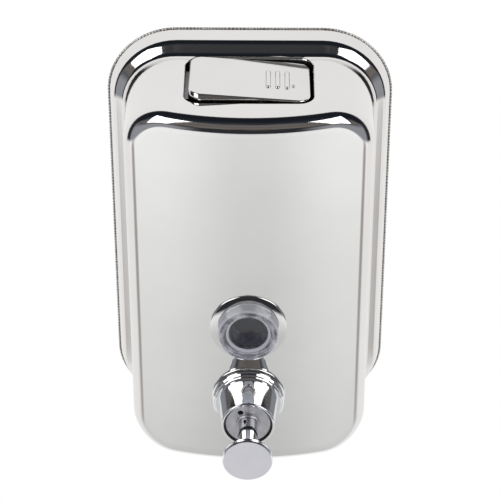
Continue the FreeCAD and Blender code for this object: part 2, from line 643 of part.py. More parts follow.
inlet_end = "-(cylinder_back + inlet_length)"
inlet_seat = "-(cylinder_back + inlet_throat)"
turned("inlet_fitting", "valve_place", [
    ("ball_room", "-cylinder_back"), ("cylinder_radius", "-cylinder_back"), ("cylinder_radius", inlet_end),
    ("inlet_radius", inlet_end), ("inlet_radius", inlet_seat), ("ball_room", inlet_seat)])
spring_plate = ring("spring_plate", "valve_place", "spring_wire", "cylinder_bore - running_play",
                    "-cylinder_back", "spring_wire - cylinder_back")

ball_height = ("sqrt(ball_radius ^ 2 - inlet_radius ^ 2) + running_play "
               "- (cylinder_back + inlet_throat)")
inlet_ball = doc.addObject("Part::Sphere", "inlet_ball")
inlet_ball.Label = "inlet_ball"
inlet_ball.setExpression("Radius", sized("ball_radius"))
inlet_ball.setExpression("Placement.Base.y", sized(f"-({SEAT} + {ball_height})"))
inlet_ball.setExpression("Placement.Base.z", sized("-valve_place"))

ring("stem_seal", "valve_place", "stem_radius + running_play", "cap_radius",
     "cylinder_front", "cap_face - cap_depth")
front_cap = turned("front_cap", "valve_place", [
    ("stem_radius + 2 * running_play", "cap_face - cap_depth"), ("cap_radius", "cap_face - cap_depth"),
    ("cap_radius", "cap_face - cap_edge"), ("cap_radius - cap_edge", "cap_face"), ("cap_collar", "cap_face"),
    ("cap_collar", "cap_face + collar_height - cap_edge"),
    ("cap_collar - cap_edge", "cap_face + collar_height"),
    ("stem_radius + 2 * running_play", "cap_face + collar_height")])
vent = sketch(front_cap, "XY_Plane", "cap_face + collar_height + gauge")
disc(vent, "vent_radius", "-cap_radius * 0.33", "cap_radius * 0.64")
extrude(vent, "collar_height + 2 * gauge + cap_depth", "Pocket")
ring_wire = "(mouth_radius - cap_radius) / 2 - running_play / 2"
o_ring("cap_ring", "valve_place", "(mouth_radius + cap_radius) / 2", ring_wire, "cap_face - 2 * cap_edge")

turned("outlet_nozzle", "valve_place", [
    ("nozzle_bore", "-nozzle_tip"), ("nozzle_radius - bevel", "-nozzle_tip"),
    ("nozzle_radius", "bevel - nozzle_tip"),
    ("nozzle_radius", "-(nozzle_root)"),
    ("nozzle_bore", "-(nozzle_root)")],
    depth=f"{SEAT} + port_place", rotation=FreeCAD.Rotation())
duckbill_top = "gauge + duckbill_length - nozzle_tip"
turned("outlet_valve", "valve_place", [
    ("port_radius * 0.3", duckbill_top), ("nozzle_bore - running_play", duckbill_top),
    ("nozzle_bore - running_play", f"{duckbill_top} - flange_step"),
    ("port_radius * 0.6", f"{duckbill_top} - duckbill_length"),
    ("port_radius * 0.3", f"{duckbill_top} - duckbill_length")],
    depth=f"{SEAT} + port_place", rotation=FreeCAD.Rotation())

# Plunger: the pieces that travel with the button.

head_back = "button_face - button_edge"
stud_seat = "button_face - button_neck"
socket_end = "button_face - socket_floor"
rod_end = "-(rod_shoulder + piston_length + button_bevel)"
turned("push_button", "valve_place", [
    ("0", socket_end), ("0", "button_face"), ("button_radius - button_bevel", "button_face"),
    ("button_radius - button_bevel / 3", "button_face - button_bevel / 3"),
    ("button_radius", "button_face - button_bevel"),
    ("button_radius", f"{head_back} + button_bevel"), ("button_radius - button_bevel", head_back),
    ("stem_radius + button_flare", f"{head_back} - flare_height"),
    ("stem_radius", f"{head_back} - flare_height - button_flare"),
    ("stem_radius", stud_seat), ("stud_radius + running_play", stud_seat),
    ("stud_radius + running_play", socket_end)])
stud_end = f"{socket_end} - 2 * running_play"
turned("plunger_rod", "valve_place", [
    ("0", rod_end), ("stud_radius", rod_end),
    ("stud_radius", "-rod_shoulder"), ("stem_radius", "-rod_shoulder"), ("stem_radius", stud_seat),
    ("stud_radius", stud_seat), ("stud_radius", stud_end), ("0", stud_end)])
piston_outer = "cylinder_bore - running_play"
groove = f"{piston_outer} - seal_groove"
piston_end = "-(rod_shoulder + piston_length)"
groove_low = "-(rod_shoulder + piston_length * 0.7)"
groove_high = "-(rod_shoulder + piston_length * 0.3)"
turned("piston", "valve_place", [
    ("stud_radius + running_play", piston_end), (piston_outer, piston_end), (piston_outer, groove_low),
    (groove, groove_low), (groove, groove_high), (piston_outer, groove_high),
    (piston_outer, "-rod_shoulder"), ("stud_radius + running_play", "-rod_shoulder")])
o_ring("piston_seal", "valve_place", f"{piston_outer} - seal_groove / 2", "seal_wire",
       "-(rod_shoulder + piston_length / 2)")

spring = body("return_spring", y=f"-({SEAT})", z="-valve_place", rotation=OUTWARD)
spring_low = "spring_wire * 1.5 - cylinder_back + running_play"
spring_high = "-(rod_shoulder + piston_length + spring_wire / 2 + running_play)"
wire = sketch(spring, "XZ_Plane")
disc(wire, "spring_wire / 2", "spring_radius", spring_low)
coil = spring.newObject("PartDesign::AdditiveHelix", "return_spring_coil")
coil.Profile = wire
coil.ReferenceAxis = (wire, ["V_Axis"])
coil.Mode = "height-turns-growth"
coil.setExpression("Height", sized(f"{spring_high} - ({spring_low})"))
coil.setExpression("Turns", sized("spring_turns"))
coil.Growth = 0

doc.recompute()

NODES = """wall_plate hanger_bracket back_plate rim_weld tank_shell filler_collar lid_pin lid
sight_glass sight_glass_gasket sight_glass_washer sight_glass_nut
valve_housing valve_gasket valve_washer valve_nut pump_cylinder inlet_fitting spring_plate inlet_ball
stem_seal front_cap cap_ring outlet_nozzle outlet_valve
push_button plunger_rod piston piston_seal return_spring""".split()

for item in doc.Objects:
    if {"Invalid", "Error"} & set(item.State):
        raise RuntimeError(f"{item.Name} did not build: {item.State}")
os.makedirs("parts", exist_ok=True)
for node in NODES:
    shape = doc.getObjectsByLabel(node)[0].Shape
    if shape.isNull() or not shape.isValid() or not shape.Solids:
        raise RuntimeError(f"{node} is not a valid solid")
    shape.exportStep(f"parts/{node}.step")
    box = shape.BoundBox
    spans = [f"{low:8.2f} {high:8.2f}" for low, high in (
        (box.XMin, box.XMax), (box.YMin, box.YMax), (box.ZMin, box.ZMax))]
    print(f"{node:20s} solids {len(shape.Solids)} volume {shape.Volume:9.1f} ", *spans)
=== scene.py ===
import math
import random

import bmesh
import bpy
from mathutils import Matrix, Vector

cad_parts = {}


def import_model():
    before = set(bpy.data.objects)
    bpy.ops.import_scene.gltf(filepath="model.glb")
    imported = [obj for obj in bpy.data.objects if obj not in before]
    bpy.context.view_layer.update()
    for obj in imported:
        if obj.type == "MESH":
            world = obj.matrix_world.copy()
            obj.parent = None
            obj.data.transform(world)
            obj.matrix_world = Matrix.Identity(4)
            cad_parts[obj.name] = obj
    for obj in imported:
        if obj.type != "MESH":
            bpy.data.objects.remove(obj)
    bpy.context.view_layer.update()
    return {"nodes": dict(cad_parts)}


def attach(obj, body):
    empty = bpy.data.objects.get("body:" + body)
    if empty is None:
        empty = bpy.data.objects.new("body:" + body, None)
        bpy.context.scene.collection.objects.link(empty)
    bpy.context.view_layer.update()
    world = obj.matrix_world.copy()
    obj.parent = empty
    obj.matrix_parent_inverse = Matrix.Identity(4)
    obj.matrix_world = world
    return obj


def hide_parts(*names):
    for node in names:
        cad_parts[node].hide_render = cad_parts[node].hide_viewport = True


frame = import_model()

NODES = frame["nodes"]
SCENE = bpy.context.scene

# Camera: looks down on the dispenser from in front, a touch from its right.
PITCH = math.radians(34.0)
YAW = math.radians(0.55)
DISTANCE = 0.867
SENSOR = 36.0
FOCAL_IN_FRAMES = 2053.0 / 500.0
AIM = Vector((0.0004, -0.0365, 0.0094))

CLIP = (0.01, 50.0)

# Floor: white, well below the dispenser.
FLOOR_Z = -0.32
FLOOR_SIZE = 12.0

# Room, as the polished metal sees it. Directions are unit vectors: X across, Y away from the camera, Z up.
# Steps are (start, end), or (start, end, value at the start, value at the end).
BEHIND_STEP = (0.22, 0.33)
IN_FRONT_STEP = (0.05, -0.10)
BELOW_EDGE = -0.40
BELOW_FADE = 0.07
FLOOR_ACROSS = (0.05, 0.60, 0.84, 1.03)
FLOOR_DOWN = (-0.46, -0.68, 1.02, 0.70)
SIDE_SHADE = (0.80, -0.26, -0.56)
SIDE_SHADE_FADE = (0.20, 0.06)
SIDE_GLOW_ACROSS = (0.30, 0.52)
SIDE_GLOW_DOWN = (0.10, -0.16)
PALE = (0.93, 0.915, 0.915)
BROWN = (0.42, 0.385, 0.37)
SIDE_GLOW = (0.30, 0.31, 0.335)
DARK_STOPS = (
    (0.00, (0.030, 0.030, 0.034)), (0.40, (0.020, 0.020, 0.024)), (0.50, (0.010, 0.012, 0.016)),
    (0.66, (0.014, 0.018, 0.025)), (0.74, (0.045, 0.045, 0.05)), (0.79, (0.15, 0.14, 0.14)),
    (0.86, (0.13, 0.115, 0.105)), (0.93, (0.17, 0.152, 0.14)), (0.98, (0.03, 0.032, 0.036)))
STREAK_SCALE = 5.0
STREAK_DETAIL = 6.0
STREAK_WAVER = 0.16

# Two softboxes, one at either side of the camera.
SOFTBOX = {"elevation": 27.0, "distance": 1.1, "across": 0.60, "up": 0.80, "radiance": 2.3}
SOFTBOX_AZIMUTH = 48.0

# Finishes: bump depths in metres, and the window by share of its width from its middle.
WAVE_SCALE = 28.0
WAVE_DEPTH = 0.001
GRAIN_DEPTH = 0.0002
HAZE_TO_SMUDGE = 2.3
WINDOW_RING = (0.30, 0.35)
WINDOW_RING_CLOUD = (0.02, 0.50)
WINDOW_CLOUD_SCALE = 240.0
# The window's two pale lines are painted highlights: rings where less light passes, standing in for light
# caught at its edges.
WINDOW_INNER_HIGHLIGHT = (0.300, 0.322)
WINDOW_INNER_HIGHLIGHT_END = (0.340, 0.365)
WINDOW_INNER_HIGHLIGHT_STRENGTH = 0.80
WINDOW_OUTER_HIGHLIGHT = (0.440, 0.468)
WINDOW_OUTER_HIGHLIGHT_STRENGTH = 0.62
WINDOW_CLARITY = 0.95
WINDOW_DISH_TINT = (0.46, 0.47, 0.54)
WINDOW_RING_TINT = (0.88, 0.90, 0.98)
WINDOW_IOR = 1.16
WINDOW_COAT_ROUGHNESS = 0.02
WINDOW_ROUGHNESS = (0.02, 0.10)
WINDOW_HAZE_SCALE = 160.0
WINDOW_WAVE_SCALE = 170.0
WINDOW_WAVE = 0.35
WINDOW_WAVE_DEPTH = 0.0005

SCENE.view_settings.view_transform = "Standard"
SCENE.view_settings.look = "None"


def new_material(name):
    """Start a node material and return it with its tree and its shader."""
    material = bpy.data.materials.new(name)
    material.use_nodes = True
    tree = material.node_tree
    return material, tree, tree.nodes["Principled BSDF"]


def add(tree, kind, **settings):
    """Add a node and set its properties."""
    node = tree.nodes.new(kind)
    for key, setting in settings.items():
        setattr(node, key, setting)
    return node


def noise(tree, scale, detail=3.0, roughness=0.5, stretch=(1.0, 1.0, 1.0)):
    """Noise in the part's own space; stretch draws it out along an axis."""
    place = add(tree, "ShaderNodeTexCoord")
    spread = add(tree, "ShaderNodeMapping")
    spread.inputs["Scale"].default_value = stretch
    tree.links.new(place.outputs["Object"], spread.inputs["Vector"])
    texture = add(tree, "ShaderNodeTexNoise")
    texture.inputs["Scale"].default_value = scale
    texture.inputs["Detail"].default_value = detail
    texture.inputs["Roughness"].default_value = roughness
    tree.links.new(spread.outputs["Vector"], texture.inputs["Vector"])
    return texture.outputs["Fac"]


def remap(tree, source, low, high, start=0.3, end=0.7):
    """Spread the middle of a noise over a range."""
    node = add(tree, "ShaderNodeMapRange")
    for key, number in (("From Min", start), ("From Max", end), ("To Min", low), ("To Max", high)):
        node.inputs[key].default_value = number
    tree.links.new(source, node.inputs["Value"])
    return node.outputs["Result"]


def smooth_step(tree, source, start, end, low=0.0, high=1.0):
    """A soft step from low to high as the source goes from start to end."""
    node = add(tree, "ShaderNodeMapRange", interpolation_type="SMOOTHSTEP")
    for key, number in (("From Min", start), ("From Max", end), ("To Min", low), ("To Max", high)):
        node.inputs[key].default_value = number
    tree.links.new(source, node.inputs["Value"])
    return node.outputs["Result"]


def arithmetic(tree, operation, first, second=None):
    """One step of arithmetic between two sockets or numbers."""
    node = add(tree, "ShaderNodeMath", operation=operation)
    for slot, source in enumerate((first, second)):
        if isinstance(source, (int, float)):
            node.inputs[slot].default_value = source
        elif source is not None:
            tree.links.new(source, node.inputs[slot])
    return node.outputs[0]


def mix_sockets(tree, factor, first, second):
    """Mix two colour sockets by a factor."""
    node = add(tree, "ShaderNodeMix", data_type="RGBA")
    tree.links.new(factor, node.inputs["Factor"])
    tree.links.new(first, node.inputs["A"])
    tree.links.new(second, node.inputs["B"])
    return node.outputs["Result"]


def fixed_colour(tree, colour):
    """A colour as a socket."""
    node = add(tree, "ShaderNodeRGB")
    node.outputs[0].default_value = (*colour, 1.0)
    return node.outputs[0]


def vector_step(tree, operation, source, fixed=None):
    """One step of vector arithmetic on a socket, with a fixed vector where it needs one."""
    node = add(tree, "ShaderNodeVectorMath", operation=operation)
    tree.links.new(source, node.inputs[0])
    if fixed is not None:
        node.inputs[1].default_value = fixed
    return node


def blend_colours(tree, factor, first, second):
    """Mix two colours by a factor."""
    node = add(tree, "ShaderNodeMix", data_type="RGBA")
    node.inputs["A"].default_value = (*first, 1.0)
    node.inputs["B"].default_value = (*second, 1.0)
    tree.links.new(factor, node.inputs["Factor"])
    return node.outputs["Result"]


def bump(tree, shader, layers):
    """Lay bumps of (height, strength, distance) on one another and give them to the shader."""
    normal = None
    for height, strength, distance in layers:
        node = add(tree, "ShaderNodeBump")
        node.inputs["Strength"].default_value = strength
        node.inputs["Distance"].default_value = distance
        tree.links.new(height, node.inputs["Height"])
        if normal is not None:
            tree.links.new(normal, node.inputs["Normal"])
        normal = node.outputs["Normal"]
    tree.links.new(normal, shader.inputs["Normal"])


def metal(name, colours, roughness, smudge=18.0, grain=None, wave=0.0):
    """Metal with cloudy smudges, a change of tint and, where asked, a drawn grain and a slow waviness."""
    material, tree, shader = new_material(name)
    shader.inputs["Metallic"].default_value = 1.0
    cloud = noise(tree, smudge, 5.0, 0.6)
    tree.links.new(blend_colours(tree, remap(tree, cloud, 0.0, 1.0), *colours), shader.inputs["Base Color"])
    haze = noise(tree, smudge * HAZE_TO_SMUDGE, 6.0, 0.65)
    tree.links.new(remap(tree, haze, *roughness), shader.inputs["Roughness"])
    layers = []
    if wave:
        layers.append((noise(tree, WAVE_SCALE, 1.0), wave, WAVE_DEPTH))
    if grain:
        scale, strength, stretch = grain
        layers.append((noise(tree, scale, 4.0, 0.6, stretch), strength, GRAIN_DEPTH))
    if layers:
        bump(tree, shader, layers)
    return material


def plain(name, colours, roughness, scale=300.0, strength=0.15):
    """Rubber or plastic with a moulded grain."""
    material, tree, shader = new_material(name)
    cloud = noise(tree, scale / 8, 4.0)
    tree.links.new(blend_colours(tree, remap(tree, cloud, 0.0, 1.0), *colours), shader.inputs["Base Color"])
    tree.links.new(remap(tree, noise(tree, scale / 3, 4.0), *roughness), shader.inputs["Roughness"])
    bump(tree, shader, [(noise(tree, scale, 4.0), strength, GRAIN_DEPTH)])
    return material


def clear(name):
    """Clear acrylic: a clear dish in the middle and a cloudier raised ring, with two pale lines that are
    painted highlights standing in for light caught at the window's edges.
    """
    material, tree, shader = new_material(name)
    place = add(tree, "ShaderNodeTexCoord")
    centred = vector_step(tree, "SUBTRACT", place.outputs["Generated"], (0.5, 0.5, 0.5))
    flat = vector_step(tree, "MULTIPLY", centred.outputs[0], (1.0, 0.0, 1.0))
    reach = vector_step(tree, "LENGTH", flat.outputs[0]).outputs["Value"]
    ring = smooth_step(tree, reach, *WINDOW_RING)
    cloud = remap(tree, noise(tree, WINDOW_CLOUD_SCALE), *WINDOW_RING_CLOUD)
    cloud = arithmetic(tree, "MULTIPLY", ring, cloud)
    # Painted highlights: two pale rings where the window lets less light through.
    inner = smooth_step(tree, reach, *WINDOW_INNER_HIGHLIGHT)
    inner = arithmetic(tree, "SUBTRACT", inner, smooth_step(tree, reach, *WINDOW_INNER_HIGHLIGHT_END))
    outer = smooth_step(tree, reach, *WINDOW_OUTER_HIGHLIGHT)
    painted_highlight_lines = arithmetic(tree, "MAXIMUM", arithmetic(tree, "MULTIPLY", inner, WINDOW_INNER_HIGHLIGHT_STRENGTH),
                       arithmetic(tree, "MULTIPLY", outer, WINDOW_OUTER_HIGHLIGHT_STRENGTH))
    cloud = arithmetic(tree, "MAXIMUM", cloud, painted_highlight_lines)
    tint = mix_sockets(tree, ring, fixed_colour(tree, WINDOW_DISH_TINT), fixed_colour(tree, WINDOW_RING_TINT))
    tree.links.new(tint, shader.inputs["Base Color"])
    tree.links.new(arithmetic(tree, "SUBTRACT", WINDOW_CLARITY, cloud), shader.inputs["Transmission Weight"])
    shader.inputs["IOR"].default_value = WINDOW_IOR
    shader.inputs["Coat Weight"].default_value = 1.0
    shader.inputs["Coat Roughness"].default_value = WINDOW_COAT_ROUGHNESS
    haze = noise(tree, WINDOW_HAZE_SCALE, 4.0)
    tree.links.new(remap(tree, haze, *WINDOW_ROUGHNESS), shader.inputs["Roughness"])
    bump(tree, shader, [(noise(tree, WINDOW_WAVE_SCALE), WINDOW_WAVE, WINDOW_WAVE_DEPTH)])
    return material


MATERIALS = {
    "shell_steel": metal("shell_steel", ((0.835, 0.835, 0.83), (0.785, 0.78, 0.765)), (0.03, 0.075),
                         smudge=14.0, grain=(900.0, 0.03, (1, 1, 1)), wave=0.12),
    "lid_steel": metal("lid_steel", ((0.81, 0.805, 0.80), (0.765, 0.76, 0.755)), (0.04, 0.09),
                       smudge=30.0, grain=(900.0, 0.03, (1, 1, 1)), wave=0.05),
    "back_steel": metal("back_steel", ((0.64, 0.64, 0.63), (0.56, 0.56, 0.55)), (0.22, 0.34),
                        smudge=20.0, grain=(600.0, 0.25, (1, 1, 0.04))),
    "weld_steel": metal("weld_steel", ((0.80, 0.79, 0.77), (0.64, 0.61, 0.57)), (0.2, 0.4),
                        smudge=160.0, grain=(1200.0, 0.4, (1, 1, 1))),
    # Dark steel for the filler's inner wall: its dark colour is painted shade inside the opening.
    "collar_steel": metal("collar_steel", ((0.26, 0.26, 0.27), (0.16, 0.16, 0.17)), (0.25, 0.4),
                          smudge=30.0, grain=(600.0, 0.25, (1, 1, 0.04))),
    "wall_steel": metal("wall_steel", ((0.62, 0.62, 0.62), (0.55, 0.55, 0.55)), (0.25, 0.38),
                        smudge=30.0, grain=(700.0, 0.25, (0.04, 1, 1))),
    "valve_chrome": metal("valve_chrome", ((0.84, 0.85, 0.87), (0.80, 0.81, 0.83)), (0.03, 0.07),
                          smudge=60.0, grain=(1500.0, 0.04, (1, 1, 1))),
    "cap_metal": metal("cap_metal", ((0.66, 0.66, 0.69), (0.46, 0.46, 0.49)), (0.26, 0.42),
                       smudge=120.0, grain=(1800.0, 0.5, (1, 1, 1))),
    "button_metal": metal("button_metal", ((0.93, 0.93, 0.985), (0.86, 0.86, 0.93)), (0.10, 0.20),
                          smudge=80.0, grain=(1500.0, 0.12, (1, 1, 1))),
    "clear_plastic": clear("clear_plastic"),
    "black_rubber": plain("black_rubber", ((0.018, 0.018, 0.019), (0.035, 0.035, 0.036)), (0.42, 0.6)),
    "grey_rubber": plain("grey_rubber", ((0.28, 0.28, 0.28), (0.34, 0.34, 0.34)), (0.5, 0.7)),
    "white_plastic": plain("white_plastic", ((0.84, 0.84, 0.82), (0.80, 0.80, 0.78)), (0.35, 0.5)),
    "spring_steel": metal("spring_steel", ((0.68, 0.68, 0.68), (0.60, 0.60, 0.60)), (0.18, 0.3),
                          smudge=200.0, grain=(2000.0, 0.2, (1, 1, 1))),
    "soft_silicone": plain("soft_silicone", ((0.82, 0.82, 0.79), (0.87, 0.87, 0.84)), (0.3, 0.45)),
}

for node in NODES.values():
    for holder in node.material_slots:
        holder.material = MATERIALS[holder.material.name.split(".")[0]]
# The filler's inner wall gets a dark, dull steel; its dark colour is painted shade inside the opening.
for holder in NODES["filler_collar"].material_slots:
    holder.material = MATERIALS["collar_steel"]


MM = 0.001

# Tank shell, in millimetres: depths from the wall, and insets from the rim's outline. The sizes repeat the
# CAD's, as do the seats' and the filler's; the roundings are set here.
HALF_WIDTH = 59.3
HALF_HEIGHT = 95.9
SHEET = 0.8
PROFILE = (
    # depth, inset, corner radius, rounding
    (1.3, 0.0, 29.5, 0.0),
    (8.5, 2.4, 27.1, 1.3),
    (12.0, 7.2, 22.0, 1.7),
)
FRONT_DEPTH = 61.5
FRONT_INSET = 9.4
FRONT_CORNER = 17.0
BOW = 116.0
FRONT_ROUND = 5.5
SEAT_DEPTH = 62.1
SEAT_ROUND = 0.35
HANDLE = 0.5523
# Seats as name, height from the origin, radius and radius of the hole through it.
SEATS = (("glass", -13.0, 16.2, 9.9), ("valve", -50.2, 15.9, 8.5))
SEAT_ROUND_SHARE = 0.3
SEAT_CORE = 0.5
SEAT_SHEETS = 3
BORE_CORE = 0.001
BORE_BEHIND = 8
BORE_IN_FRONT = 4
FILLER = {"width": 52.0, "depth": 34.4, "corner": 6.0, "place": 30.2}
FILLER_ROUND = 0.7
FILLER_LIP_DROP = 0.3
CUTTER_SHEETS = 4
ARC_STEPS = 14
SIDE_STEPS = 26
END_STEPS = 18
WALL_STEPS = 14
ROUND_STEPS = 8
EDGE_STEPS = 12
CAP_STEPS = 40
TURN_STEPS = 96

# Seam weld: bead lengths in millimetres, and the heights of a bead's ends and swell as shares of its radius.
WELD_RADIUS = 0.598
WELD_SINK = 0.2
WELD_SEED = 7
WELD_MARKS = (240, 700, 420)
BEAD_LENGTH = (1.15, 1.75)
BEAD_SWELL = (0.8, 1.0)
BEAD_END = 0.70
BEAD_RISE = 0.30
BEAD_STEPS = 8

SHARP_ANGLE = 35.0
WELD_SHARP_ANGLE = 60.0


def outline_marks(arc_steps, side_steps, end_steps):
    """Marks round a rounded rectangle: corner number, angle and share of the way to the next corner."""
    marks = []
    for corner in range(4):
        for step in range(arc_steps):
            marks.append((corner, math.pi / 2 * (corner + step / arc_steps), 0.0))
        straight = end_steps if corner % 2 == 0 else side_steps
        for step in range(straight):
            marks.append((corner, math.pi / 2 * (corner + 1), step / straight))
    return marks


def outline_point(mark, half_width, half_height, corner_radius):
    """Where a mark lies on one rounded rectangle, and which way is outwards there."""
    corner, angle, share = mark
    signs = ((1, 1), (-1, 1), (-1, -1), (1, -1))
    outward = Vector((math.cos(angle), math.sin(angle)))
    reach = Vector((half_width - corner_radius, half_height - corner_radius))
    here = Vector((signs[corner][0] * reach.x, signs[corner][1] * reach.y)) + outward * corner_radius
    if share:
        after = signs[(corner + 1) % 4]
        there = Vector((after[0] * reach.x, after[1] * reach.y)) + outward * corner_radius
        here = here.lerp(there, share)
    return here, outward


def bezier(first, one, two, last, share):
    """A point on a cubic curve."""
    rest = 1 - share
    return (first * rest ** 3 + one * 3 * rest ** 2 * share + two * 3 * rest * share ** 2 + last * share ** 3)


def softened(corners, radii, steps):
    """Round the inner corners of a polyline; only depth and inset count as distance."""
    made = [corners[0]]
    for before, corner, after, radius in zip(corners, corners[1:], corners[2:], radii):
        back = (before - corner) * (radius / (before - corner).to_2d().length)
        on = (after - corner) * (radius / (after - corner).to_2d().length)
        for step in range(steps + 1):
            made.append(bezier(corner + back, corner + back * (1 - HANDLE), corner + on * (1 - HANDLE),
                               corner + on, step / steps))
    return made


def bow_depth(x):
    """Depth of the bowed front at x."""
    return FRONT_DEPTH - (BOW - math.sqrt(BOW ** 2 - x ** 2))


def shell_rings():
    """Rings of points from the rim's back over the front edge to the middle of the front."""
    marks = outline_marks(ARC_STEPS, SIDE_STEPS, END_STEPS)

    def at(mark, inset, corner, depth):
        place, outward = outline_point(mark, HALF_WIDTH - inset, HALF_HEIGHT - inset, corner)
        return Vector((place.x, -depth, place.y)), outward

    root = Vector(PROFILE[-1][:3])
    front = Vector((FRONT_DEPTH, FRONT_INSET, FRONT_CORNER))
    corners = [Vector(row[:3]) for row in PROFILE] + [front]
    rim = softened(corners, [row[3] for row in PROFILE[1:]], ROUND_STEPS)
    rings = [[at(mark, inset, corner, depth)[0] for mark in marks] for depth, inset, corner in rim]
    wall_start = rim[-1]
    columns = []
    for mark in marks:
        edge_x = at(mark, FRONT_INSET, FRONT_CORNER, FRONT_DEPTH)[0].x
        edge_depth = bow_depth(edge_x)

        def wall(depth):
            return root.lerp(front, (depth - root.x) / (front.x - root.x))
        start = wall(edge_depth - FRONT_ROUND)
        corner = wall(edge_depth)
        column = []
        for step in range(1, WALL_STEPS + 1):
            row = wall_start.lerp(start, step / WALL_STEPS)
            column.append(at(mark, row.y, row.z, row.x)[0])
        low = at(mark, start.y, start.z, start.x)[0]
        tip, outward = at(mark, corner.y, corner.z, corner.x)
        inward = Vector((-outward.x, 0, -outward.y))
        high = tip + inward * FRONT_ROUND
        high.y = -bow_depth(high.x)
        slope = high.x / math.sqrt(BOW ** 2 - high.x ** 2)
        along = Vector((outward.x, slope * outward.x, outward.y)) * FRONT_ROUND
        for step in range(1, EDGE_STEPS + 1):
            column.append(bezier(low, low.lerp(tip, HANDLE), high + along * HANDLE, high, step / EDGE_STEPS))
        for step in range(1, CAP_STEPS):
            spot = high * (1 - step / CAP_STEPS)
            spot.y = -bow_depth(spot.x)
            column.append(spot)
        columns.append(column)
    rings += [[column[level] for column in columns] for level in range(len(columns[0]))]
    return rings


def mesh_object(name, vertices, faces):
    """Make an object from points in millimetres."""
    mesh = bpy.data.meshes.new(name)
    mesh.from_pydata([tuple(Vector(v) * MM) for v in vertices], [], faces)
    mesh.validate()
    work = bmesh.new()
    work.from_mesh(mesh)
    bmesh.ops.recalc_face_normals(work, faces=work.faces)
    work.to_mesh(mesh)
    work.free()
    mesh.polygons.foreach_set("use_smooth", [True] * len(mesh.polygons))
    made = bpy.data.objects.new(name, mesh)
    SCENE.collection.objects.link(made)
    return made


def ring_faces(count, levels, closed=False):
    """Faces between rings of points that follow one another."""
    faces = []
    for level in range(levels if closed else levels - 1):
        low, high = level * count, (level + 1) % levels * count
        for number in range(count):
            after = (number + 1) % count
            faces.append((low + number, low + after, high + after, high + number))
    return faces


def turned_solid(name, place, profile):
    """Turn a closed profile of (radius, depth) about an axis that runs straight out from the wall."""
    vertices = []
    for radius, depth in profile:
        for step in range(TURN_STEPS):
            turn = 2 * math.pi * step / TURN_STEPS
            vertices.append((radius * math.cos(turn), -depth, place + radius * math.sin(turn)))
    return mesh_object(name, vertices, ring_faces(TURN_STEPS, len(profile), closed=True))


def prism(name, rings):
    """Close a stack of rings with a face at either end."""
    count = len(rings[0])
    vertices = [v for ring in rings for v in ring]
    faces = ring_faces(count, len(rings))
    faces.append(tuple(range(count)))
    faces.append(tuple(range(len(vertices) - count, len(vertices))))
    return mesh_object(name, vertices, faces)


def filler_ring(grow, height):
    """The filler opening's outline, made larger by grow, at a height over the tank's top."""
    marks = outline_marks(ARC_STEPS, END_STEPS, SIDE_STEPS)
    points = []
    for mark in marks:
        place, _ = outline_point(mark, FILLER["width"] / 2 + grow, FILLER["depth"] / 2 + grow,
                                 FILLER["corner"] + grow)
        depth = FILLER["place"] - place.y
        points.append(Vector((place.x, -depth, top_height(depth) + height)))
    return points


def top_height(depth):
    """Height of the tank's top surface at a depth from the wall."""
    root_depth, root_inset = PROFILE[-1][:2]
    share = (depth - root_depth) / (FRONT_DEPTH - root_depth)
    return HALF_HEIGHT - root_inset - (FRONT_INSET - root_inset) * share


def apply_boolean(target, tool, operation):
    """Cut or join a helper and take it away."""
    modifier = target.modifiers.new("cut", "BOOLEAN")
    modifier.operation = operation
    modifier.solver = "EXACT"
    modifier.object = tool
    bpy.context.view_layer.update()
    graph = bpy.context.evaluated_depsgraph_get()
    mesh = bpy.data.meshes.new_from_object(target.evaluated_get(graph))
    target.modifiers.clear()
    target.data = mesh
    bpy.data.objects.remove(tool)


